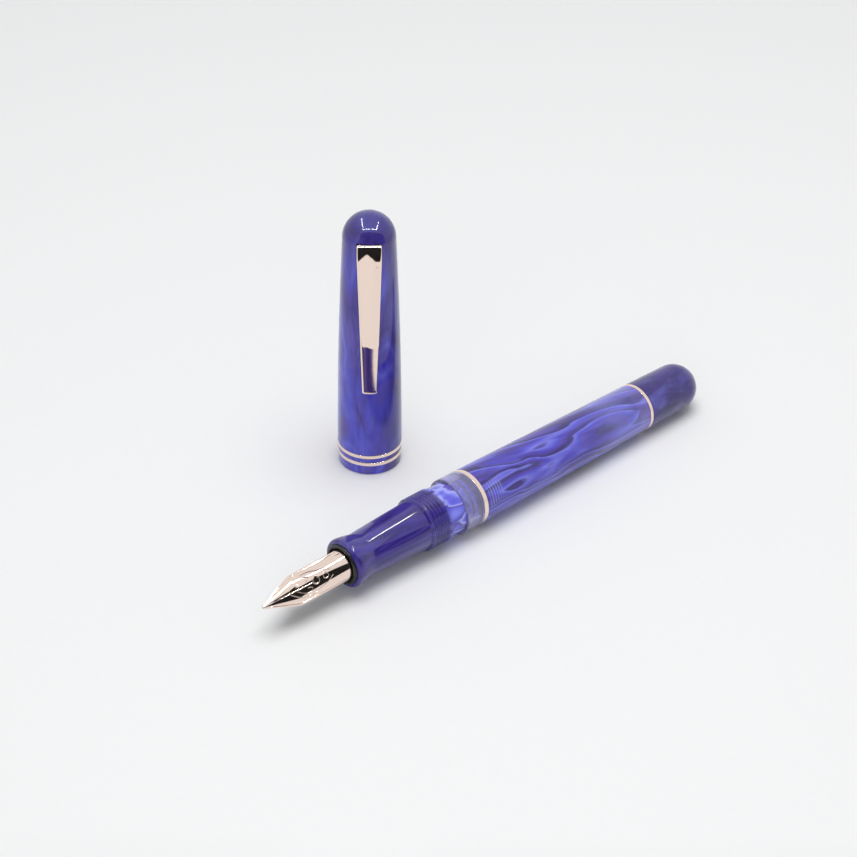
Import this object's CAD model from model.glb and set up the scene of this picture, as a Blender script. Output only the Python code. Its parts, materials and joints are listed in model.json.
# Looks for the fountain pen: camera, floor, lights, procedural materials and the fine visible
# pieces. Lengths are in millimetres unless a comment says otherwise, and MM turns them into
# metres. A piece called X_fine stands in for the CAD node X.
import json
from math import asin, atan2, cos, hypot, pi, radians, sin, sqrt, tan

import bmesh
import bpy
import numpy as np
from mathutils import Matrix, Vector


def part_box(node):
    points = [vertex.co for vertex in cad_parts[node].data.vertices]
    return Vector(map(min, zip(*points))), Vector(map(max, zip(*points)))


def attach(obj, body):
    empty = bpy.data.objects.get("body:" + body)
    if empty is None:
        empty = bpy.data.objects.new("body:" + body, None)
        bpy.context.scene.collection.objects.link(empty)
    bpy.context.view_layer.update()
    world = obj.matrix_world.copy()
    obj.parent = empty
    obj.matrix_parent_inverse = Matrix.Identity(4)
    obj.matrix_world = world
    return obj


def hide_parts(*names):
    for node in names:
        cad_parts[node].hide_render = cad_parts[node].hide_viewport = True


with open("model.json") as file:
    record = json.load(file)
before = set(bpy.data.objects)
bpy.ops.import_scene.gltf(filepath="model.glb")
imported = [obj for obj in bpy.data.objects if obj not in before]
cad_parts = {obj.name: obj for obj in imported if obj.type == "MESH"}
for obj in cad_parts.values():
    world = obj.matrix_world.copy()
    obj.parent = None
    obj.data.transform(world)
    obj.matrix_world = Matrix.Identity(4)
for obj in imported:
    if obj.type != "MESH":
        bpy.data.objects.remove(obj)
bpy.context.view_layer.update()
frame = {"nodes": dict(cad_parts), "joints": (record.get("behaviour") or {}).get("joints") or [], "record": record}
MM = 0.001


# ---- The two frames that every piece is built in ----
def joint(name):
    return next(j for j in frame["joints"] if j["name"] == name)


def place_at(origin, x, y, z):
    """Matrix that lays local X, Y and Z along three directions from origin."""
    return Matrix.Translation(origin) @ Matrix((x, y, z)).transposed().to_4x4()


def pen_frame():
    """Local X runs along the pen from its nib, with 0 at the rear face of the front trim ring."""
    axle = joint("knob_turn")
    along = Vector(axle["axis"]).normalized()
    start = Vector(axle["pos_m"])
    ring = frame["nodes"]["front_trim_ring"].data.vertices
    rear_face = max((v.co - start).dot(along) for v in ring)
    across = Vector((0, 1, 0))
    return place_at(start + along * rear_face, along, across, along.cross(across))


def cap_frame():
    """Local X runs up the cap from its rim, and local Z is the way that the clip faces."""
    low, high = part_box("cap_shell")
    middle = (low + high) / 2
    facing = Vector(joint("clip_flex")["pos_m"]) - middle
    facing.z = 0
    facing.normalize()
    up = Vector((0, 0, 1))
    return place_at((middle.x, middle.y, low.z), up, facing.cross(up), facing)


PEN = pen_frame()
CAP = cap_frame()
PEN_ORIGIN = PEN.translation
CAP_ORIGIN = CAP.translation


# ---- Mesh helpers ----
ROUND = 160                        # points round a turned piece
HARD_EDGE = 35                     # degrees between two faces that leave their edge sharp
WELD = 1e-7                        # metres between points that become one
ON_AXIS = 1e-6
NEARLY_STRAIGHT = radians(89)      # half the angle of a corner that isn't worth rounding
FILLET_SHARE = 0.49                # most of a side that one fillet may use
RIDGE_STEPS = 8                    # points along one thread ridge
GROOVE_SHAPE = 0.8                 # below 1, the helical groove is wider than its crest


def link(name, data):
    obj = bpy.data.objects.new(name, data)
    bpy.context.scene.collection.objects.link(obj)
    return obj


def new_mesh(name, verts, faces):
    mesh = bpy.data.meshes.new(name)
    mesh.from_pydata(verts, [], faces)
    return mesh


def shade(mesh, hard_edge):
    mesh.polygons.foreach_set("use_smooth", [True] * len(mesh.polygons))
    mesh.set_sharp_from_angle(angle=radians(hard_edge))


def add_object(name, verts, faces, place, hard_edge=HARD_EDGE):
    mesh = new_mesh(name, [place @ (Vector(v) * MM) for v in verts], faces)
    work = bmesh.new()
    work.from_mesh(mesh)
    bmesh.ops.remove_doubles(work, verts=work.verts, dist=WELD)
    bmesh.ops.recalc_face_normals(work, faces=work.faces)
    work.to_mesh(mesh)
    work.free()
    shade(mesh, hard_edge)
    return link(name, mesh)


def finish_piece(obj, body, slot, *nodes):
    obj.data.materials.append(MATERIAL[slot])
    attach(obj, body)
    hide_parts(*nodes)


def smoothstep(a, b, x):
    t = min(1, max(0, (x - a) / (b - a)))
    return t * t * (3 - 2 * t)


def arc_points(cx, cy, r, start, end, n):
    """n + 1 points on a circle, from start to end in degrees."""
    angles = [radians(start + (end - start) * i / n) for i in range(n + 1)]
    return [(cx + r * cos(a), cy + r * sin(a)) for a in angles]


def turned_arc(station, radius, r, start, end, n):
    """Arc in an outline of (station, radius), with its angles measured from straight outwards."""
    return [(s, q) for q, s in arc_points(radius, station, r, start, end, n)]


def rounded(corners, steps):
    """Outline through corners (station, radius, fillet), with a curve in steps for each fillet."""
    out = []
    for i, (x, y, fillet) in enumerate(corners):
        here = Vector((x, y))
        before = Vector(corners[i - 1][:2]) - here
        after = Vector(corners[(i + 1) % len(corners)][:2]) - here
        half = before.angle(after) / 2
        if fillet <= 0 or half > NEARLY_STRAIGHT:
            out.append((x, y))
            continue
        reach = min(fillet / tan(half), before.length * FILLET_SHARE, after.length * FILLET_SHARE)
        a = here + before.normalized() * reach
        b = here + after.normalized() * reach
        for k in range(steps + 1):
            t = k / steps
            p = a * (1 - t) ** 2 + here * 2 * t * (1 - t) + b * t * t
            out.append((p.x, p.y))
    return out


def ridges(core, crest, start, pitch, n):
    """Outline of n rounded thread ridges."""
    return [(start + pitch * (i + k / RIDGE_STEPS),
             core + (crest - core) * (0.5 - 0.5 * cos(2 * pi * k / RIDGE_STEPS)))
            for i in range(n) for k in range(RIDGE_STEPS)]


def helix(start, end, pitch, depth, crest):
    """Helical groove in the turned surface of radius crest, fading at both ends."""
    fade_run = pitch * 0.7
    slack = 0.02

    def radius_at(s, r, a):
        if not start < s < end or abs(r - crest) > slack:
            return r
        fade = smoothstep(start, start + fade_run, s) * (1 - smoothstep(end - fade_run, end, s))
        wave = 0.5 - 0.5 * cos(2 * pi * (s / pitch - a / (2 * pi)))
        return r - depth * fade * wave ** GROOVE_SHAPE
    return radius_at


def lathe(name, outline, place, radius_at=None):
    """Turned piece: a closed outline of (station, radius) swept round local X."""
    verts, faces = [], []
    m = len(outline)
    for k in range(ROUND):
        a = 2 * pi * k / ROUND
        for s, r in outline:
            q = r if radius_at is None else radius_at(s, r, a)
            verts.append((s, -q * sin(a), q * cos(a)))
    for k in range(ROUND):
        l = (k + 1) % ROUND
        for i in range(m):
            j = (i + 1) % m
            if outline[i][1] >= ON_AXIS or outline[j][1] >= ON_AXIS:
                faces.append((k * m + i, k * m + j, l * m + j, l * m + i))
    return add_object(name, verts, faces, place)


# ---- Material helpers ----
class Shader:
    """A Principled material with short calls for adding and wiring nodes."""

    def __init__(self, name, **sockets):
        self.material = bpy.data.materials.new(name)
        self.material.use_nodes = True
        self.tree = self.material.node_tree
        self.surface = self.tree.nodes["Principled BSDF"]
        self.set(**sockets)

    def set(self, **sockets):
        for key, value in sockets.items():
            self.connect(self.surface.inputs[key.replace("_", " ")], value)

    def connect(self, socket, value):
        if isinstance(value, bpy.types.NodeSocket):
            self.tree.links.new(value, socket)
        else:
            socket.default_value = value

    def node(self, kind, values=(), **settings):
        made = self.tree.nodes.new("ShaderNode" + kind)
        for key, value in settings.items():
            setattr(made, key, value)
        for key, value in dict(values).items():
            self.connect(made.inputs[key], value)
        return made

    def math(self, operation, a, b=0.0, clamp=False):
        return self.node("Math", {0: a, 1: b}, operation=operation, use_clamp=clamp).outputs[0]

    def times(self, a, b):
        return self.math("MULTIPLY", a, b)

    def vector(self, operation, a, b):
        return self.node("VectorMath", {0: a, 1: b}, operation=operation).outputs[0]

    def dot(self, a, b):
        return self.node("VectorMath", {0: a, 1: b}, operation="DOT_PRODUCT").outputs["Value"]

    def axis(self, where, i):
        return self.node("SeparateXYZ", {0: where}).outputs[i]

    def place(self, origin, sizes=(1, 1, 1)):
        """Rest position measured from origin, in units of sizes (all in millimetres)."""
        where = self.node("TexCoord").outputs["Object"]
        moved = self.vector("SUBTRACT", where, tuple(origin))
        return self.vector("MULTIPLY", moved, tuple(1 / (x * MM) for x in sizes))

    def noise(self, where, scale, detail=2.0, roughness=0.5, output="Fac"):
        made = self.node("TexNoise", {"Vector": where, "Scale": scale, "Detail": detail,
                                      "Roughness": roughness})
        return made.outputs[output]

    def patches(self, origin, sizes, detail=2.0, roughness=0.5):
        """Noise whose patches have about the given sizes in millimetres."""
        return self.noise(self.place(origin, sizes), 1.0, detail, roughness)

    def stir(self, where, scale, amount):
        """Positions pushed about by smooth noise."""
        push = self.noise(where, scale, 1.0, output="Color")
        push = self.vector("SUBTRACT", push, (0.5, 0.5, 0.5))
        return self.vector("ADD", where, self.vector("MULTIPLY", push, (amount,) * 3))

    def fit(self, x, low, high, start=0.0, end=1.0, kind="LINEAR"):
        """x from low to high, carried to start to end and held beyond them."""
        return self.node("MapRange", {0: x, 1: low, 2: high, 3: start, 4: end},
                         interpolation_type=kind).outputs[0]

    def ease(self, x, low, high, start=0.0, end=1.0):
        return self.fit(x, low, high, start, end, "SMOOTHSTEP")

    def window(self, x, low, high, soft):
        """1 between low and high, fading to 0 over soft at both ends."""
        return self.times(self.ease(x, low - soft, low + soft),
                          self.ease(x, high - soft, high + soft, 1.0, 0.0))

    def steps(self, factor, stops):
        """Colour ramp through (position, colour) stops."""
        made = self.node("ValToRGB", {0: factor})
        ramp = made.color_ramp.elements
        while len(ramp) < len(stops):
            ramp.new(0.5)
        for element, (position, colour) in zip(ramp, stops):
            element.position = position
            element.color = (*colour, 1)
        return made.outputs[0]

    def mix(self, factor, a, b):
        return self.node("Mix", {0: factor, 6: a, 7: b}, data_type="RGBA").outputs[2]

    def between(self, factor, a, b):
        """Mix of two plain colours."""
        return self.mix(factor, (*a, 1), (*b, 1))

    def paint(self, colour, plain, mask, strength):
        """colour drawn towards a plain colour where mask is above 0."""
        return self.mix(self.times(mask, strength), colour, (*plain, 1))

    def bump(self, height, distance, strength):
        self.set(Normal=self.node("Bump", {"Strength": strength, "Distance": distance * MM,
                                           "Height": height}).outputs[0])


# ---- Marbled resin: linear colours, and the order in which they cross a band ----
INK = (0.016, 0.007, 0.140)
INDIGO = (0.036, 0.018, 0.250)
VIOLET = (0.080, 0.046, 0.390)
BLUE = (0.062, 0.056, 0.600)
SKY = (0.130, 0.130, 0.740)
PERIWINKLE = (0.210, 0.225, 0.840)
PALE = (0.380, 0.410, 0.950)
AZURE = (0.055, 0.075, 0.780)
PLUM = (0.064, 0.044, 0.260)
LILAC = (0.36, 0.27, 0.62)
SLATE = (0.022, 0.016, 0.062)
DUSK = (0.026, 0.016, 0.110)

FLOW = ((0.0, INDIGO), (0.22, VIOLET), (0.40, BLUE), (0.54, SKY), (0.66, PERIWINKLE),
        (0.76, INK), (0.88, SLATE))
CALM_FLOW = ((0.0, VIOLET), (0.14, INDIGO), (0.32, VIOLET), (0.50, BLUE), (0.66, SKY),
             (0.80, BLUE), (0.94, VIOLET))
DEEP_FLOW = ((0.0, INK), (0.25, INDIGO), (0.48, PLUM), (0.68, SLATE), (0.76, INK), (1.0, INK))
SMOKE_FLOW = ((0.0, SLATE), (0.3, DUSK), (0.55, SLATE), (0.75, DUSK), (1.0, SLATE))
NECK_FLOW = ((0.32, BLUE), (0.42, SKY), (0.49, PALE), (0.54, VIOLET), (0.62, SKY),
             (0.75, PERIWINKLE))

BARREL_THREAD_PITCH = 0.75
CAP_RIGHT = (0.73, -0.68, 0)       # the cap's side to the right of the photograph
MATERIAL = {}                      # by slot


def station(s):
    """Distance along the pen in millimetres, as a socket."""
    return s.axis(s.place(PEN_ORIGIN), 0)


def barrel_zones(s, colour):
    """The window's thread showing through the front, and a brighter rear with a lilac end."""
    x = station(s)
    lines = s.math("SINE", s.times(x, 2 * pi / BARREL_THREAD_PITCH))
    lines = s.math("MULTIPLY_ADD", lines, 0.5, clamp=True)
    patch = s.fit(s.patches(PEN_ORIGIN, (6, 4, 4), 1.0), 0.42, 0.62)
    thread = s.times(s.times(s.window(x, 0.8, 5.2, 0.3), lines), patch)
    bright = s.times(s.window(x, 38, 53, 6), s.patches(PEN_ORIGIN, (9, 4, 4)))
    rear = s.times(s.window(x, 48.7, 51.9, 0.1), s.patches(PEN_ORIGIN, (9, 2, 2), 0.0))
    colour = s.paint(colour, PALE, thread, 0.35)
    colour = s.paint(colour, PALE, bright, 0.45)
    return s.paint(colour, LILAC, rear, 0.3)


def section_zones(s, colour):
    """A shade darker, with bright patches on the neck behind the thread."""
    colour = s.mix(0.12, colour, (*SLATE, 1))
    neck = s.steps(s.patches(PEN_ORIGIN, (7, 3.4, 3.4), 1.5, 0.45), NECK_FLOW)
    return s.mix(s.window(station(s), -10.6, -2, 0.7), colour, neck)


def cap_zones(s, colour):
    """Azure patches above the bands, a darker dome and a darker side."""
    where = s.place(CAP_ORIGIN)
    up = s.axis(where, 2)
    patch = s.ease(s.patches(CAP_ORIGIN, (4, 4, 11), 1.5), 0.44, 0.60)
    colour = s.paint(colour, AZURE, s.times(s.window(up, 6, 27, 5), patch), 0.35)
    colour = s.paint(colour, DUSK, s.window(up, 57, 80, 8), 0.75)
    return s.paint(colour, DUSK, s.window(s.dot(where, CAP_RIGHT), 4.2, 20, 2.2), 0.6)


def resin(slot, origin, sizes, seed, ramp, swirl=0.8, folds=7.0, haze=0.3, detail=2.0,
          slant=(0, 0, 0), lean=(0, 0, 0), stretch=(0.8, 5.0, 5.0), zones=None):
    """Cast marbled resin: folded bands of colour, drawn out along the stock, under a clear polish.

    sizes is the extent of one swirl and seed the part of the pattern that shows. folds counts
    the bands, swirl bends them, detail roughens them and haze clouds them. slant moves the
    pattern sideways along its length, lean adds a steady run of bands across the stock, and
    stretch draws out the grain.
    """
    s = Shader(slot, IOR=1.45, Specular_IOR_Level=0.1, Coat_Weight=1.0, Coat_Roughness=0.012,
               Coat_IOR=1.5)
    where = s.place(origin, sizes)
    shift = s.node("CombineXYZ", {1: s.dot(where, slant)}).outputs[0]
    where = s.vector("ADD", s.vector("ADD", where, shift), (seed, seed * 0.7, seed * 1.3))
    folded = s.stir(where, 0.5, swirl * 2.2)
    folded = s.stir(folded, 1.2, swirl * 0.6)
    field = s.math("ADD", s.noise(folded, 0.55, detail, 0.45), s.dot(folded, lean))
    colour = s.steps(s.math("FRACT", s.times(field, folds)), ramp)

    depth = s.noise(s.vector("ADD", folded, (7.3, 2.1, 4.4)), 0.8, 3.0, 0.6)
    colour = s.paint(colour, PERIWINKLE, s.ease(depth, 0.45, 0.66), haze)
    colour = s.paint(colour, INDIGO, s.ease(depth, 0.5, 0.34), 0.55)
    grain = s.noise(s.vector("MULTIPLY", folded, stretch), 1.0, 3.0, 0.65)
    veil = s.mix(0.5, colour, (*VIOLET, 1))
    colour = s.mix(s.fit(grain, 0.36, 0.64, 0.0, 0.55), colour, veil)
    fine = s.noise(folded, 4.0, 4.0, 0.6)
    colour = s.paint(colour, INDIGO, fine, 0.3)
    if zones:
        colour = zones(s, colour)
    s.set(Base_Color=colour, Roughness=s.fit(fine, 0.0, 1.0, 0.25, 0.4))
    MATERIAL[slot] = s.material


def metal(slot, colour, roughness, grain):
    s = Shader(slot, Metallic=1.0, Roughness=roughness, IOR=1.5)
    where = s.place(PEN_ORIGIN, grain)
    wear = s.noise(where, 1.0, 4.0, 0.7)
    s.set(Base_Color=s.between(wear, [v * 0.94 for v in colour], colour),
          Roughness=s.fit(wear, 0.3, 0.7, roughness * 0.7, roughness * 1.5))
    s.bump(s.noise(where, 3.0, 3.0, 0.6), 0.004, 0.35)
    MATERIAL[slot] = s.material


def plastic(slot, colour, roughness):
    s = Shader(slot, Roughness=roughness, IOR=1.47)
    speck = s.patches(PEN_ORIGIN, (0.25, 0.25, 0.25), 3.0, 0.6)
    s.set(Base_Color=s.between(speck, colour, [v * 1.6 + 0.004 for v in colour]),
          Roughness=s.fit(speck, 0.0, 1.0, roughness * 0.8, roughness * 1.25))
    s.bump(speck, 0.006, 0.3)
    MATERIAL[slot] = s.material


def clear_acrylic(slot):
    s = Shader(slot, Transmission_Weight=0.8, IOR=1.47, Roughness=0.01)
    where = s.place(PEN_ORIGIN, (3, 1.5, 1.5))
    s.set(Base_Color=s.between(s.noise(where, 1.0), (0.42, 0.40, 0.90), (0.80, 0.78, 0.98)))
    s.bump(s.noise(where, 0.8, 1.0), 0.01, 0.1)
    MATERIAL[slot] = s.material


resin("barrel_resin", PEN_ORIGIN, (20, 3.3, 3.3), 3.1, FLOW, folds=6.0, detail=1.3,
      slant=(0.9, 0, 0), lean=(0, 0.09, 0.12), zones=barrel_zones)
resin("section_resin", PEN_ORIGIN, (18, 3.0, 3.0), 5.7, DEEP_FLOW, haze=0.15, zones=section_zones)
resin("knob_resin", PEN_ORIGIN, (9, 6, 6), 9.4, SMOKE_FLOW, folds=3.0, haze=0.4)
resin("cap_resin", CAP_ORIGIN, (5, 5, 16), 2.2, CALM_FLOW, swirl=0.7, folds=4.0, haze=0.35,
      stretch=(5.0, 5.0, 0.8), zones=cap_zones)
metal("rose_gold", (0.92, 0.75, 0.66), 0.04, (0.5, 0.5, 0.5))
metal("steel", (0.74, 0.74, 0.76), 0.12, (0.4, 0.4, 0.4))
metal("brass", (0.80, 0.62, 0.33), 0.2, (0.3, 2.0, 2.0))
plastic("black_plastic", (0.012, 0.012, 0.014), 0.26)
plastic("rubber", (0.02, 0.02, 0.022), 0.55)
clear_acrylic("clear_acrylic")

for part in frame["record"]["subparts"]:
    surface = frame["nodes"][part["node"]].data.materials
    surface.clear()
    surface.append(MATERIAL[part["material_slot"]])


# ---- Finely turned pieces ----
BORE = 4.6                         # radius of the ink chamber
LIP = -36.5                        # station of the section's front end
GRIP_WAIST = -31.2                 # station of the section's slimmest place
WAIST_RADIUS = 5.0
FLARE, FLARE_START, FLARE_RUN = 0.58, -35.5, 4.3       # from the lip back to the waist
GRIP_TAPER, TAPER_RUN = 0.68, 15.3                     # from the waist back to the thread
TRIM_FILLET = 0.09
THREAD = (-15.7, -10.1)            # the cap's thread on the section
THREAD_CREST = 6.2


def turned(node, outline, body, slot, place=PEN, radius_at=None):
    finish_piece(lathe(node + "_fine", outline, place, radius_at), body, slot, node)


def trim(node, body, place, inner, outer, start, end):
    corners = [(start, inner, 0), (start, outer, TRIM_FILLET), (end, outer, TRIM_FILLET),
               (end, inner, 0)]
    turned(node, rounded(corners, 6), body, "rose_gold", place)


def grip_radius(s):
    """The section's waist, with a flare towards the lip and a slow taper to the thread."""
    if s < GRIP_WAIST:
        t = max(0.0, (s - FLARE_START) / FLARE_RUN)
        return WAIST_RADIUS + FLARE * (1 + cos(pi * t)) / 2
    return WAIST_RADIUS + GRIP_TAPER * ((s - GRIP_WAIST) / TAPER_RUN) ** 0.85


def barrel_outline():
    return rounded([(0.05, 5.65, 0), (0.05, 6.5, 0.12), (52.05, 5.77, 0.08), (52.05, 4.95, 0),
                    (34.0, 4.95, 0), (34.0, BORE, 0), (6.1, BORE, 0), (6.1, 5.65, 0)], 4)


def window_outline():
    rim = rounded([(-6, 4.65, 0), (-6, 6.5, 0.4), (-1.2, 6.5, 0.05), (-1.2, 5.3, 0)], 5)
    thread = ridges(5.3, 5.6, 0.8, BARREL_THREAD_PITCH, 6)
    return rim + thread + [(6, 5.3), (6, BORE), (-1.9, BORE), (-1.9, 4.65)]


def grip_outline():
    points = [(LIP, 4.68)] + turned_arc(LIP + 0.75, 4.83, 0.75, -90, -12, 10)
    points += [(s, grip_radius(s)) for s in np.linspace(-35.4, -16.1, 60)]
    points += [(-15.9, 6.0), (-15.8, 6.14)]
    points += [(s, THREAD_CREST) for s in np.linspace(*THREAD, 100)]
    return points + [
        (-10.0, 6.1), (-9.85, 5.86), (-6.05, 5.86), (-6.05, 4.35), (-5.6, 4.35), (-5.5, 4.6),
        (-3.75, 4.6), (-3.75, 3.88), (-2.95, 3.88), (-2.95, 4.6), (-2.2, 4.6), (-2.2, 3.1),
        (-22.2, 3.1), (-22.2, 4.32), (-35.6, 4.32), (-35.6, 4.68)]


def knob_outline():
    skirt = rounded([(53.15, 4.6, 0), (53.15, 5.73, 0.14), (60, 5.635, 0)], 5)
    dome = turned_arc(65.46, 0, 5.54, 0, 90, 36)
    return skirt + dome + [(66.75, 0), (66.75, 3.65), (62.15, 3.65), (62.15, 4.6)]


def housing_outline():
    front = [(LIP - 0.45, 4.0), (LIP - 0.45, 4.3)] + arc_points(LIP - 0.2, 4.37, 0.25, 180, 90, 6)
    collar = [(LIP + 0.35, 4.62), (LIP + 0.38, 4.16), (-35.4, 4.16)]
    well = [(-22.6, 4.05), (-22.6, 2.05), (-24.6, 2.05), (-24.6, 3.7), (LIP + 0.15, 3.7),
            (LIP + 0.15, 3.82), (LIP - 0.1, 4.0)]
    return front + collar + ridges(4.05, 4.25, -35.2, 0.8, 14) + well


turned("barrel", barrel_outline(), "pen_body", "barrel_resin")
trim("front_trim_ring", "pen_body", PEN, 5.65, 6.5, -1.15, 0)
trim("rear_trim_ring", "pen_body", PEN, 4.95, 5.76, 52.1, 53)
turned("ink_window", window_outline(), "pen_body", "clear_acrylic")
turned("grip_section", grip_outline(), "pen_body", "section_resin",
       radius_at=helix(*THREAD, 0.9, 0.3, THREAD_CREST))
turned("turning_knob", knob_outline(), "knob", "knob_resin")
turned("nib_housing", housing_outline(), "nib_unit", "black_plastic")
trim("lower_cap_band", "cap", CAP, 6.83, 7.26, 2.45, 3.31)
trim("upper_cap_band", "cap", CAP, 6.89, 7.32, 4.45, 5.31)


# ---- Cap shell: turned, then slotted for the clip ----
WALL_LOW, WALL_HIGH = 5.6, 58.13   # the plain wall, from the bands to the dome
WALL_RADIUS, WALL_TAPER, WALL_SWELL = 7.3, 1.43, 0.28
DOME_RADIUS = 5.87
CLIP_SLOT = ((1.5, 7.6), (-2.755, 2.755), (58.55, 59.51))      # out, across and up


def clip_place():
    """Local X faces outwards over the clip, Y runs across it and Z runs up the cap."""
    return place_at(CAP_ORIGIN, CAP.col[2].xyz, CAP.col[1].xyz * -1, CAP.col[0].xyz)


def cap_outer(z):
    t = (z - WALL_LOW) / (WALL_HIGH - WALL_LOW)
    return WALL_RADIUS - WALL_TAPER * t + WALL_SWELL * sin(pi * t)


def cap_outline():
    points = [(0.15, 6.38), (0, 6.53)] + turned_arc(0.3, 6.75, 0.3, -90, 0, 8)
    points += [(2.4, 7.13), (2.4, 6.79), (3.36, 6.79), (3.36, 7.2), (4.4, 7.24), (4.4, 6.85),
               (5.36, 6.85), (5.36, 7.24), (5.44, 7.29)]
    points += [(z, cap_outer(z)) for z in np.linspace(WALL_LOW, WALL_HIGH, 70)]
    points += turned_arc(WALL_HIGH, 0, DOME_RADIUS, 2, 90, 48)
    points += [(60.2, 0), (60.2, 1.35), (59.55, 1.35), (59.55, 3.3), (57.2, 3.3), (57.2, 4.75),
               (32.05, 4.75), (30.05, 5.9), (11, 5.9)]
    return points + [(15 - z, r) for z, r in ridges(6.38, 6.25, 4.8, 0.9, 6)] + [(4.5, 6.38)]


def add_cap_shell():
    shell = lathe("cap_shell_fine", cap_outline(), CAP)
    corners = [(u, y, z) for u in CLIP_SLOT[0] for y in CLIP_SLOT[1] for z in CLIP_SLOT[2]]
    sides = [(0, 1, 3, 2), (4, 6, 7, 5), (0, 4, 5, 1), (2, 3, 7, 6), (0, 2, 6, 4), (1, 5, 7, 3)]
    cutter = add_object("cutter", corners, sides, clip_place())
    slot = shell.modifiers.new("slot", "BOOLEAN")
    slot.operation = "DIFFERENCE"
    slot.solver = "EXACT"
    slot.object = cutter
    bpy.context.view_layer.update()
    cut = shell.evaluated_get(bpy.context.evaluated_depsgraph_get())
    made = bpy.data.meshes.new_from_object(cut)
    shell.modifiers.clear()
    shell.data = made
    bpy.data.objects.remove(cutter)
    shade(made, HARD_EDGE)
    finish_piece(shell, "cap", "cap_resin", "cap_shell")


add_cap_shell()


# ---- Nib: one curved sheet with its slit and breather hole, and raised scroll lines ----
# A place on the nib is a station s, and a share v of the arc from the crown to either edge.
EDGE = 1.248                       # height of the sheet's two edges above the pen's axis
SHOULDER, NIB_END, NIB_BACK = -50.5, -58.95, -26.0
NIB_HALF, NIB_RISE, FLATTENING = 3.43, 2.40, 1.15     # half width and rise of the body
TIP_HALF, TIP_RISE = 0.34, 0.30
SHEET, TIP_THINNING = 0.35, 0.12
HOLE, HOLE_RADIUS, HOLE_MARGIN = -45.8, 0.6, 0.7
RING_LIFT, LINE_LIFT = 0.01, 0.02  # how far the scroll's centre lines stand above the sheet
SLIT = 0.06                        # half of its width, and the bevel along it
NIB_COLUMNS = 26                   # on each side of the slit
CURVE_STEPS = 10                   # between two given points of a scroll line
WIRE_SIDES = 8
FEED_CLEARANCE = 0.05


def nib_roll():
    """How far the nib's crown is turned about the pen's axis."""
    inverse = PEN.inverted()
    points = [inverse @ v.co for v in frame["nodes"]["nib"].data.vertices]
    return atan2(-sum(p.y for p in points), sum(p.z for p in points))


NIB = PEN @ Matrix.Rotation(nib_roll(), 4, "X")


def nib_shape(s):
    """Half width and rise of the nib's curved sheet; it flattens towards its shoulders."""
    rise = NIB_RISE - FLATTENING * smoothstep(-36, SHOULDER - 2, s)
    if s > SHOULDER:
        return NIB_HALF, rise
    t = (s - NIB_END) / (SHOULDER - NIB_END)
    return TIP_HALF + (NIB_HALF - TIP_HALF) * t ** 0.97, TIP_RISE + (rise - TIP_RISE) * t


def nib_arc(s):
    """The circle that the sheet follows at s: radius, half angle and height of its centre."""
    half, rise = nib_shape(s)
    radius = (half * half + rise * rise) / (2 * rise)
    return radius, atan2(half, radius - rise), EDGE + rise - radius


def nib_at(s, v, inset):
    radius, spread, centre = nib_arc(s)
    return s, (radius - inset) * sin(spread * v), centre + (radius - inset) * cos(spread * v)


def sheet_thickness(s):
    return SHEET - TIP_THINNING * (1 - smoothstep(SHOULDER - 6, SHOULDER + 1, s))


def nib_sheet():
    round_hole = [HOLE + HOLE_RADIUS * sin(pi / 2 * k / 8) for k in range(-8, 9)]
    ahead = np.linspace(NIB_END, HOLE - HOLE_MARGIN, 44)
    behind = np.linspace(HOLE + HOLE_MARGIN, NIB_BACK, 40)
    stations = sorted({round(s, 4) for s in (*ahead, *round_hole, *behind)})
    verts, faces, index = [], [], {}
    for i, s in enumerate(stations):
        radius, spread, _ = nib_arc(s)
        gap = sqrt(max(0.0, HOLE_RADIUS ** 2 - (s - HOLE) ** 2))
        if s <= HOLE:
            gap = max(SLIT, gap)
        start = asin(min(1, gap / radius)) / spread
        for side in (-1, 1):
            for j in range(NIB_COLUMNS + 1):
                v = start + (1 - start) * j / NIB_COLUMNS
                bevel = SLIT if j == 0 and s < HOLE + HOLE_RADIUS else 0.0
                for layer, inset in enumerate((bevel, sheet_thickness(s))):
                    index[side, i, j, layer] = len(verts)
                    verts.append(nib_at(s, side * v, inset))

    def quad(side, *corners):
        faces.append(tuple(index[(side, *corner)] for corner in corners))

    last = len(stations) - 1
    for side in (-1, 1):
        for i in range(last):
            for j in range(NIB_COLUMNS):
                for layer in (0, 1):
                    quad(side, (i, j, layer), (i + 1, j, layer), (i + 1, j + 1, layer),
                         (i, j + 1, layer))
            slit_open = stations[i] < HOLE + HOLE_RADIUS - 1e-3
            for j in (NIB_COLUMNS, 0) if slit_open else (NIB_COLUMNS,):
                quad(side, (i, j, 0), (i + 1, j, 0), (i + 1, j, 1), (i, j, 1))
        for i in (0, last):
            for j in range(NIB_COLUMNS):
                quad(side, (i, j, 0), (i, j + 1, 0), (i, j + 1, 1), (i, j, 1))
    return verts, faces


def spline(points):
    """Catmull-Rom curve from the first to the last of points."""
    p = [np.array(q, float) for q in points]
    p = [2 * p[0] - p[1]] + p + [2 * p[-1] - p[-2]]
    out = []
    for a, b, c, d in zip(p, p[1:], p[2:], p[3:]):
        for k in range(CURVE_STEPS):
            t = k / CURVE_STEPS
            out.append(0.5 * (2 * b + (c - a) * t + (2 * a - 5 * b + 4 * c - d) * t * t
                              + (3 * b - a - 3 * c + d) * t ** 3))
    return out + [p[-2]]


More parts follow.
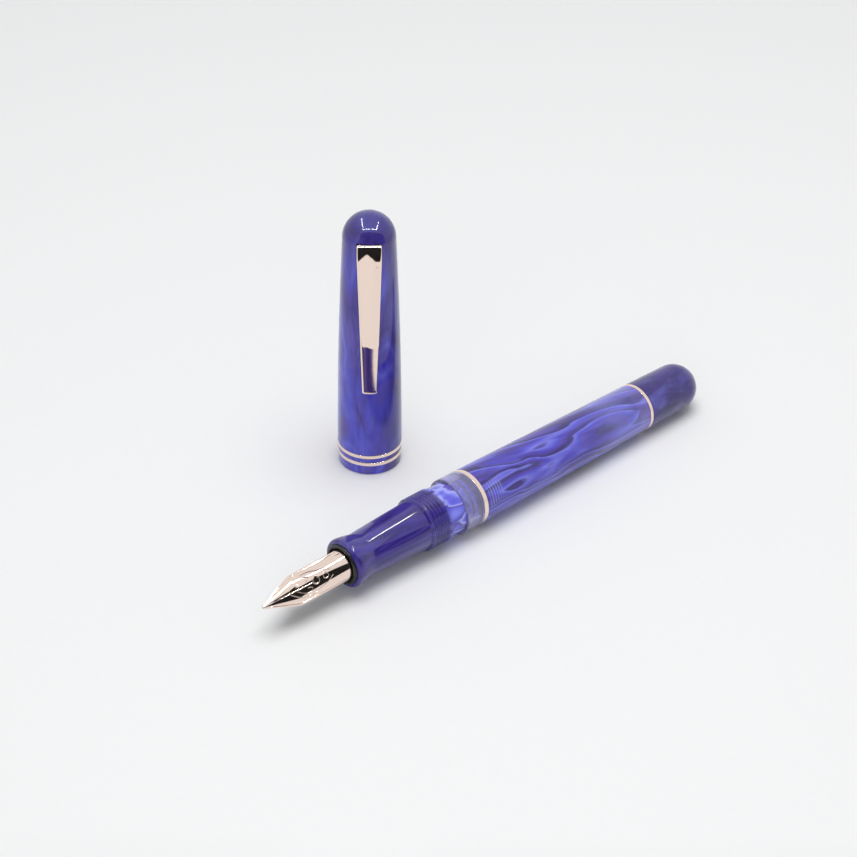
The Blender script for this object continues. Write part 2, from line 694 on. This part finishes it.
def bead(path, radius, closed):
    """Round wire along path, as verts and faces; an open one tapers at its ends."""
    verts, faces = [], []
    n = len(path)
    turns = [2 * pi * k / WIRE_SIDES for k in range(WIRE_SIDES)]
    for i, here in enumerate(path):
        ahead = path[(i + 1) % n] if closed or i < n - 1 else here
        behind = path[i - 1] if closed or i else here
        along = (Vector(ahead) - Vector(behind)).normalized()
        u = along.orthogonal() if not verts else (u - along * u.dot(along))
        u.normalize()
        w = along.cross(u)
        r = radius if closed else radius * min(1.0, 0.35 + 0.25 * min(i, n - 1 - i))
        verts += [Vector(here) + (u * cos(a) + w * sin(a)) * r for a in turns]
    for i in range(n if closed else n - 1):
        for k in range(WIRE_SIDES):
            l, m = (k + 1) % WIRE_SIDES, (i + 1) % n
            faces.append((i * WIRE_SIDES + k, m * WIRE_SIDES + k,
                          m * WIRE_SIDES + l, i * WIRE_SIDES + l))
    if not closed:
        ends = range(WIRE_SIDES)
        faces += [tuple(ends), tuple((n - 1) * WIRE_SIDES + k for k in ends)]
    return [tuple(v) for v in verts], faces


def nib_ring(s, size):
    """Circle of the given radius on the nib's crown."""
    radius, spread, _ = nib_arc(s)
    return [nib_at(s + size * cos(a), asin(size * sin(a) / radius) / spread, -RING_LIFT)
            for a in np.linspace(0, 2 * pi, 40, endpoint=False)]


def nib_lines():
    """Scroll pattern: two rings on the crown, and one mirrored set of curls and borders."""
    lines = [(nib_ring(HOLE, 0.80), 0.12, True), (nib_ring(-43.3, 0.62), 0.11, True)]
    half_set = [
        [(-51.0, 0.07), (-49.6, 0.34), (-48.2, 0.44), (-47.2, 0.36), (-47.3, 0.22),
         (-48.2, 0.20)],
        [(-52.6, 0.10), (-51.0, 0.42), (-48.8, 0.62), (-46.6, 0.62), (-44.8, 0.48),
         (-43.2, 0.36), (-41.6, 0.14)],
        [(-57.6, 0.62), (-55.5, 0.78), (-52.5, 0.84), (-50.6, 0.86), (-47.5, 0.86),
         (-43.0, 0.86), (-38.0, 0.86)],
    ]
    for side in (-1, 1):
        for points in half_set:
            path = spline([(s, v * side) for s, v in points])
            lines.append(([nib_at(s, v, -LINE_LIFT) for s, v in path], 0.10, False))
    return lines


def add_nib():
    verts, faces = nib_sheet()
    for path, radius, closed in nib_lines():
        more, skin = bead(path, radius, closed)
        faces += [tuple(i + len(verts) for i in face) for face in skin]
        verts += more
    nib = add_object("nib_fine", verts, faces, NIB, 40)
    finish_piece(nib, "nib_unit", "rose_gold", "nib")


def add_feed():
    """The feed from CAD, finely divided and pressed down wherever it would reach the nib."""
    work = bmesh.new()
    work.from_mesh(frame["nodes"]["feed"].data)
    bmesh.ops.triangulate(work, faces=work.faces)
    for longest in (4, 2, 1):
        edges = [e for e in work.edges if e.calc_length() > longest * MM]
        bmesh.ops.subdivide_edges(work, edges=edges, cuts=1, use_grid_fill=False)
        bmesh.ops.triangulate(work, faces=work.faces)
    work.verts.index_update()
    inverse = NIB.inverted()
    verts = []
    for vert in work.verts:
        s, y, z = (inverse @ vert.co) / MM
        if NIB_END < s < NIB_BACK:
            radius, spread, centre = nib_arc(s)
            under = radius - sheet_thickness(s)
            if abs(y) < under * sin(spread):
                z = min(z, centre + sqrt(under * under - y * y) - FEED_CLEARANCE)
        verts.append((s, y, z))
    faces = [tuple(v.index for v in face.verts) for face in work.faces]
    work.free()
    feed = add_object("feed_fine", verts, faces, NIB, 30)
    finish_piece(feed, "nib_unit", "black_plastic", "feed")


add_nib()
add_feed()


# ---- Clip: a crowned, bevelled blade with a flared foot ----
# A place on its outline is how far it stands out from the cap's axis, and its height.
CLIP_TOP, CLIP_FOOT = 59.43, 22.9
CLIP_POINTS, CLIP_COLUMNS = 120, 28    # along each face, and across
HALF_WIDTH, TAPER = 2.675, 1.025       # at the top, and how much of it is lost by the foot
CORNER = 0.7                           # radius of the foot's corners
NARROWING_TOP, NARROWING_RUN = 56, 32.4
SEAT_HEIGHT = 26.6                     # where the foot comes nearest to the cap
CROWN, BEVEL, BEVEL_RUN = 0.10, 0.16, 0.28    # how the outer face falls away to its edges


def resample(points, n):
    """n points at even spacing along a polyline."""
    p = np.array(points)
    run = np.concatenate([[0], np.cumsum(np.hypot(*np.diff(p, axis=0).T))])
    at = np.linspace(0, run[-1], n)
    return list(zip(np.interp(at, run, p[:, 0]), np.interp(at, run, p[:, 1])))


def clip_outlines():
    """Outer and inner face, both from the slot over the bend and down to the foot."""
    wall = cap_outer(SEAT_HEIGHT)
    front, seat = wall + 1.15, wall + 0.15
    reach, drop = 1.22, 4.2            # of the bend below the top
    outer = [(5.4, CLIP_TOP), (5.6, CLIP_TOP)]
    outer += [(5.75 + reach * sin(a), CLIP_TOP - drop + drop * cos(a))
              for a in np.linspace(0, pi / 2, 30)]
    outer += [(6.97 + (front - 6.97) * t, 55.23 - 20.23 * t) for t in np.linspace(0.05, 1, 20)]
    outer += [(front + 0.5 * t * t, 35 - 9.6 * t) for t in np.linspace(0.05, 1.19, 24)]
    outer += arc_points(front + 0.11, 23.5, 0.6, -4, -90, 10)
    inner = [(5.4, 58.63), (5.75, 58.63), (6.05, 58.45), (6.2, 58.0), (6.24, 57), (6.28, 55.2),
             (front - 0.8, 35), (front - 0.8, 30.1), (seat, 27.2), (seat, 25.4),
             (front - 0.35, 23.15), (front, CLIP_FOOT)]
    return resample(outer, CLIP_POINTS), resample(inner, CLIP_POINTS)


def clip_half_width(z):
    low = z - CLIP_FOOT
    if low < CORNER:
        narrowest = HALF_WIDTH - TAPER - CORNER
        return narrowest + sqrt(max(0.0, CORNER ** 2 - (CORNER - low) ** 2))
    return HALF_WIDTH - TAPER * min(1, max(0, (NARROWING_TOP - z) / NARROWING_RUN))


def add_clip():
    n, m = CLIP_POINTS, CLIP_COLUMNS
    outer, inner = clip_outlines()
    verts, faces = [], []
    for j in range(m + 1):
        v = 2 * j / m - 1
        v = v * (1.5 - 0.5 * v * v)               # closer columns near both edges
        for layer in (outer, inner):
            for i, (u, z) in enumerate(layer):
                half = clip_half_width(z)
                y = half * v
                if layer is outer:
                    before, after = outer[max(0, i - 1)], outer[min(n - 1, i + 1)]
                    run, rise = after[0] - before[0], after[1] - before[1]
                    size = hypot(run, rise)
                    edge = max(0.0, 1 - (half - abs(y)) / BEVEL_RUN)
                    sink = CROWN * v * v + BEVEL * edge ** 1.5
                    u, z = u + sink * rise / size, z - sink * run / size
                verts.append((u, y, z))
    ring = 2 * n
    for j in range(m):
        here, there = j * ring, (j + 1) * ring
        for i in range(ring):
            if i not in (n - 1, ring - 1):
                faces.append((here + i, here + i + 1, there + i + 1, there + i))
        for i, k in ((0, n), (n - 1, ring - 1)):
            faces.append((here + i, there + i, there + k, here + k))
    for here in (0, m * ring):
        faces += [(here + i, here + i + 1, here + n + i + 1, here + n + i) for i in range(n - 1)]
    blade = add_object("clip_blade_fine", verts, faces, clip_place(), 40)
    finish_piece(blade, "clip", "rose_gold", "clip_blade")


add_clip()


# ---- Camera: it looks down at a point on the floor between the pen and the cap ----
VIEW_AZIMUTH = radians(43.15)      # the sight line turns this much from +Y towards +X
VIEW_ELEVATION = radians(35.26)
VIEW_DISTANCE = 600
VIEW_ROLL = radians(0.72)
LENS = 109.15                      # on the standard 36 mm sensor
NEAREST = 10                       # the camera sees nothing nearer than this
AIM = PEN_ORIGIN + Vector((17.37, 31.56, 0)) * MM


def add_camera():
    forward = Vector((cos(VIEW_ELEVATION) * sin(VIEW_AZIMUTH),
                      cos(VIEW_ELEVATION) * cos(VIEW_AZIMUTH), -sin(VIEW_ELEVATION)))
    level = forward.cross(Vector((0, 0, 1))).normalized()
    upright = level.cross(forward)
    right = level * cos(VIEW_ROLL) + upright * sin(VIEW_ROLL)
    up = upright * cos(VIEW_ROLL) - level * sin(VIEW_ROLL)
    camera = link("camera", bpy.data.cameras.new("camera"))
    camera.data.lens = LENS
    camera.data.clip_start = NEAREST * MM
    aim = Vector((AIM.x, AIM.y, 0))
    camera.matrix_world = place_at(aim - forward * VIEW_DISTANCE * MM, right, up, -forward)
    bpy.context.scene.camera = camera


# ---- Floor and studio, in metres ----
FRONT = Vector((-sin(VIEW_AZIMUTH), -cos(VIEW_AZIMUTH), 0))    # towards the camera
SIDE = Vector((cos(VIEW_AZIMUTH), -sin(VIEW_AZIMUTH), 0))      # to the camera's right
CAP_FOOT = Vector((CAP_ORIGIN.x, CAP_ORIGIN.y, 0))
FLOOR_HALF = 3.0
CAP_TOP = 0.06                     # roughly
LAMP_HEIGHT = 0.105                # above the cap
FLAG_DISTANCE = 0.122              # from the cap towards the camera
FOOT_GAP = 0.002                   # between the tent and the floor
STRIP_WIDTH = 0.0022
STRIP_RADIANCE = 75.0
SKY_LOW, SKY_HIGH = 0.32, 0.46     # diffuse light at the horizon and overhead
TENT = 0.92                        # brightness of the white walls in reflections
TENT_RADIUS = 1.2
KEY_POWER = 4.85
FILL_POWER = 1.2


def from_middle(front, side, height):
    """Place measured from the middle of the floor."""
    return FRONT * front + SIDE * side + Vector((0, 0, height))


def add_floor():
    corners = [(x, y, 0) for x, y in ((-1, -1), (1, -1), (1, 1), (-1, 1))]
    corners = [Vector(corner) * FLOOR_HALF for corner in corners]
    floor = link("floor", new_mesh("floor", corners, [(0, 1, 2, 3)]))
    s = Shader("floor_card", Roughness=0.6, Specular_IOR_Level=0.2)
    grain = s.patches((0, 0, 0), (1.5, 1.5, 1.5), 4.0)
    s.set(Base_Color=s.between(grain, (0.84, 0.845, 0.85), (0.86, 0.865, 0.87)))
    floor.data.materials.append(s.material)


def add_lamp(name, shape, size, place):
    lamp = link(name, bpy.data.lights.new(name, "AREA"))
    lamp.data.shape = shape
    lamp.data.size = size
    lamp.matrix_world = place
    return lamp


def add_strip(name, start, end):
    """A thin lamp facing the floor below the cap; only polished and clear faces see it."""
    along = (end - start).normalized()
    middle = (start + end) / 2
    aim = CAP_FOOT - middle
    back = -(aim - along * aim.dot(along)).normalized()
    place = place_at(middle, along, back.cross(along), back)
    lamp = add_lamp(name, "RECTANGLE", (end - start).length, place)
    lamp.data.size_y = STRIP_WIDTH
    lamp.data.energy = STRIP_RADIANCE * pi * lamp.data.size * lamp.data.size_y
    lamp.visible_diffuse = False


def add_soft_lamp(name, where, size, power):
    """Broad lamp aimed at the middle of the floor, unseen by the polished faces."""
    turn = where.to_track_quat("Z", "Y").to_matrix().to_4x4()
    lamp = add_lamp(name, "DISK", size, Matrix.Translation(where) @ turn)
    lamp.data.energy = power
    lamp.visible_glossy = False


def only_in_reflections(obj):
    obj.visible_camera = obj.visible_diffuse = False
    obj.visible_shadow = obj.visible_transmission = False


def add_flag():
    """Black card with a notched foot on the camera's side; only polished faces see it."""
    outline = [(-0.12, 0.001), (-0.014, 0.001), (0, 0.045), (0.014, 0.001), (0.32, 0.001),
               (0.30, 0.2), (-0.1, 0.2)]
    verts = [CAP_FOOT + from_middle(FLAG_DISTANCE, x, z) for x, z in outline]
    card = link("flag", new_mesh("flag", verts, [tuple(range(len(verts)))]))
    s = Shader("flag_card", Roughness=0.9, Specular_IOR_Level=0.0)
    grain = s.patches((0, 0, 0), (5, 5, 5))
    s.set(Base_Color=s.between(grain, (0.02, 0.02, 0.022), (0.03, 0.03, 0.032)))
    card.data.materials.append(s.material)
    only_in_reflections(card)


def add_tent():
    """White walls and ceiling that only polished faces see."""
    levels, sides = 12, 48
    verts = []
    for i in range(levels):
        tilt = pi / 2 * i / levels
        wide, high = TENT_RADIUS * cos(tilt), TENT_RADIUS * sin(tilt) + FOOT_GAP
        verts += [(wide * cos(2 * pi * k / sides), wide * sin(2 * pi * k / sides), high)
                  for k in range(sides)]
    verts.append((0, 0, TENT_RADIUS))
    faces = []
    for i in range(levels):
        here, above = i * sides, (i + 1) * sides
        for k in range(sides):
            l = (k + 1) % sides
            top = (above,) if i == levels - 1 else (above + l, above + k)
            faces.append((here + k, here + l, *top))
    tent = link("tent", new_mesh("tent", verts, faces))
    s = Shader("tent_cloth", Roughness=1.0, Specular_IOR_Level=0.0, Base_Color=(0, 0, 0, 1),
               Emission_Strength=TENT)
    folds = s.patches((0, 0, 0), (300, 300, 500))
    s.set(Emission_Color=s.between(folds, (0.90, 0.91, 0.93), (1.0, 1.0, 1.0)))
    tent.data.materials.append(s.material)
    only_in_reflections(tent)


def add_strips():
    """Three strip lamps in a U over the object."""
    top = CAP_FOOT + Vector((0, 0, CAP_TOP + LAMP_HEIGHT))
    near, far, left, right = 0.53, -0.55, -0.48, 0.64      # in lamp heights
    right_share = 0.78                                     # the right strip stops short
    corner = {(f, w): top + (FRONT * f + SIDE * w) * LAMP_HEIGHT
              for f in (near, far) for w in (left, right)}
    add_strip("strip_left", corner[far, left], corner[near, left])
    add_strip("strip_front", corner[near, left], corner[near, right])
    add_strip("strip_right", corner[near, right],
              corner[near, right].lerp(corner[far, right], right_share))


def add_sky():
    """Plain surroundings, brighter overhead."""
    world = bpy.data.worlds.new("studio")
    bpy.context.scene.world = world
    world.use_nodes = True
    tree = world.node_tree
    where = tree.nodes.new("ShaderNodeTexCoord")
    height = tree.nodes.new("ShaderNodeSeparateXYZ")
    ramp = tree.nodes.new("ShaderNodeValToRGB")
    for element, level in zip(ramp.color_ramp.elements, (SKY_LOW, SKY_HIGH)):
        element.color = (level, level, level, 1)
    background = tree.nodes["Background"]
    background.inputs[1].default_value = 1.0
    tree.links.new(where.outputs["Generated"], height.inputs[0])
    tree.links.new(height.outputs[2], ramp.inputs[0])
    tree.links.new(ramp.outputs[0], background.inputs[0])


add_camera()
add_floor()
add_strips()
add_sky()
add_soft_lamp("key", from_middle(0.02, 0.04, 0.85), 0.65, KEY_POWER)
add_soft_lamp("fill", from_middle(0.8, -0.15, 0.3), 0.7, FILL_POWER)
add_flag()
add_tent()
bpy.context.scene.view_settings.view_transform = "Standard"
